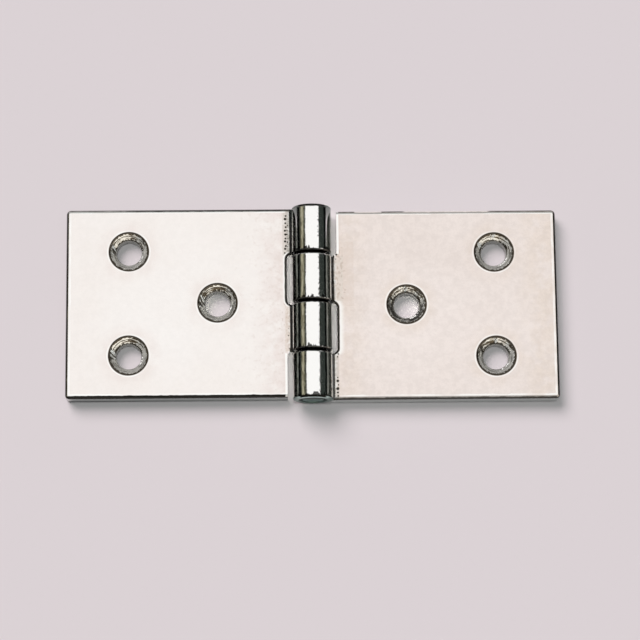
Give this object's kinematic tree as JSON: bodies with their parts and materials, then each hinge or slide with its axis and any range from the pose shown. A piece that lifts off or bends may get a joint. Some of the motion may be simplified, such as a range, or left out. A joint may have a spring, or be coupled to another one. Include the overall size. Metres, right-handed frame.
{
  "type": "boat hinge",
  "caption": "Solid polished butt hinge for a boat, open flat: two thick leaves with countersunk screw holes turn on one plain pin through interleaved knuckles.",
  "frame": {"origin": "under the middle of the pin, on the plane of the two mounting faces", "axes": "+X across the open leaves towards the leaf that turns, +Y along the pin towards the end knuckle of the gripping leaf, +Z from the mounting faces up through the countersunk faces"},
  "size_m": [0.102, 0.0408, 0.0081],
  "materials": {
    "bright_plating": "polished plate, bright, with turned marks in the countersinks",
    "stained_plating": "polished plate with a faint warm haze and stains",
    "pin_metal": "plain turned ends"
  },
  "bodies": {
    "left_side": {"left_leaf": "bright_plating", "hinge_pin": "pin_metal"},
    "right_side": {"right_leaf": "stained_plating"}
  },
  "joints": [
    {"name": "hinge_turn", "type": "hinge", "parent": "left_side", "child": "right_side", "pos_m": [0, 0, 0.00405], "axis": [0, -1, 0], "range_deg": [-97, 180]}
  ]
}
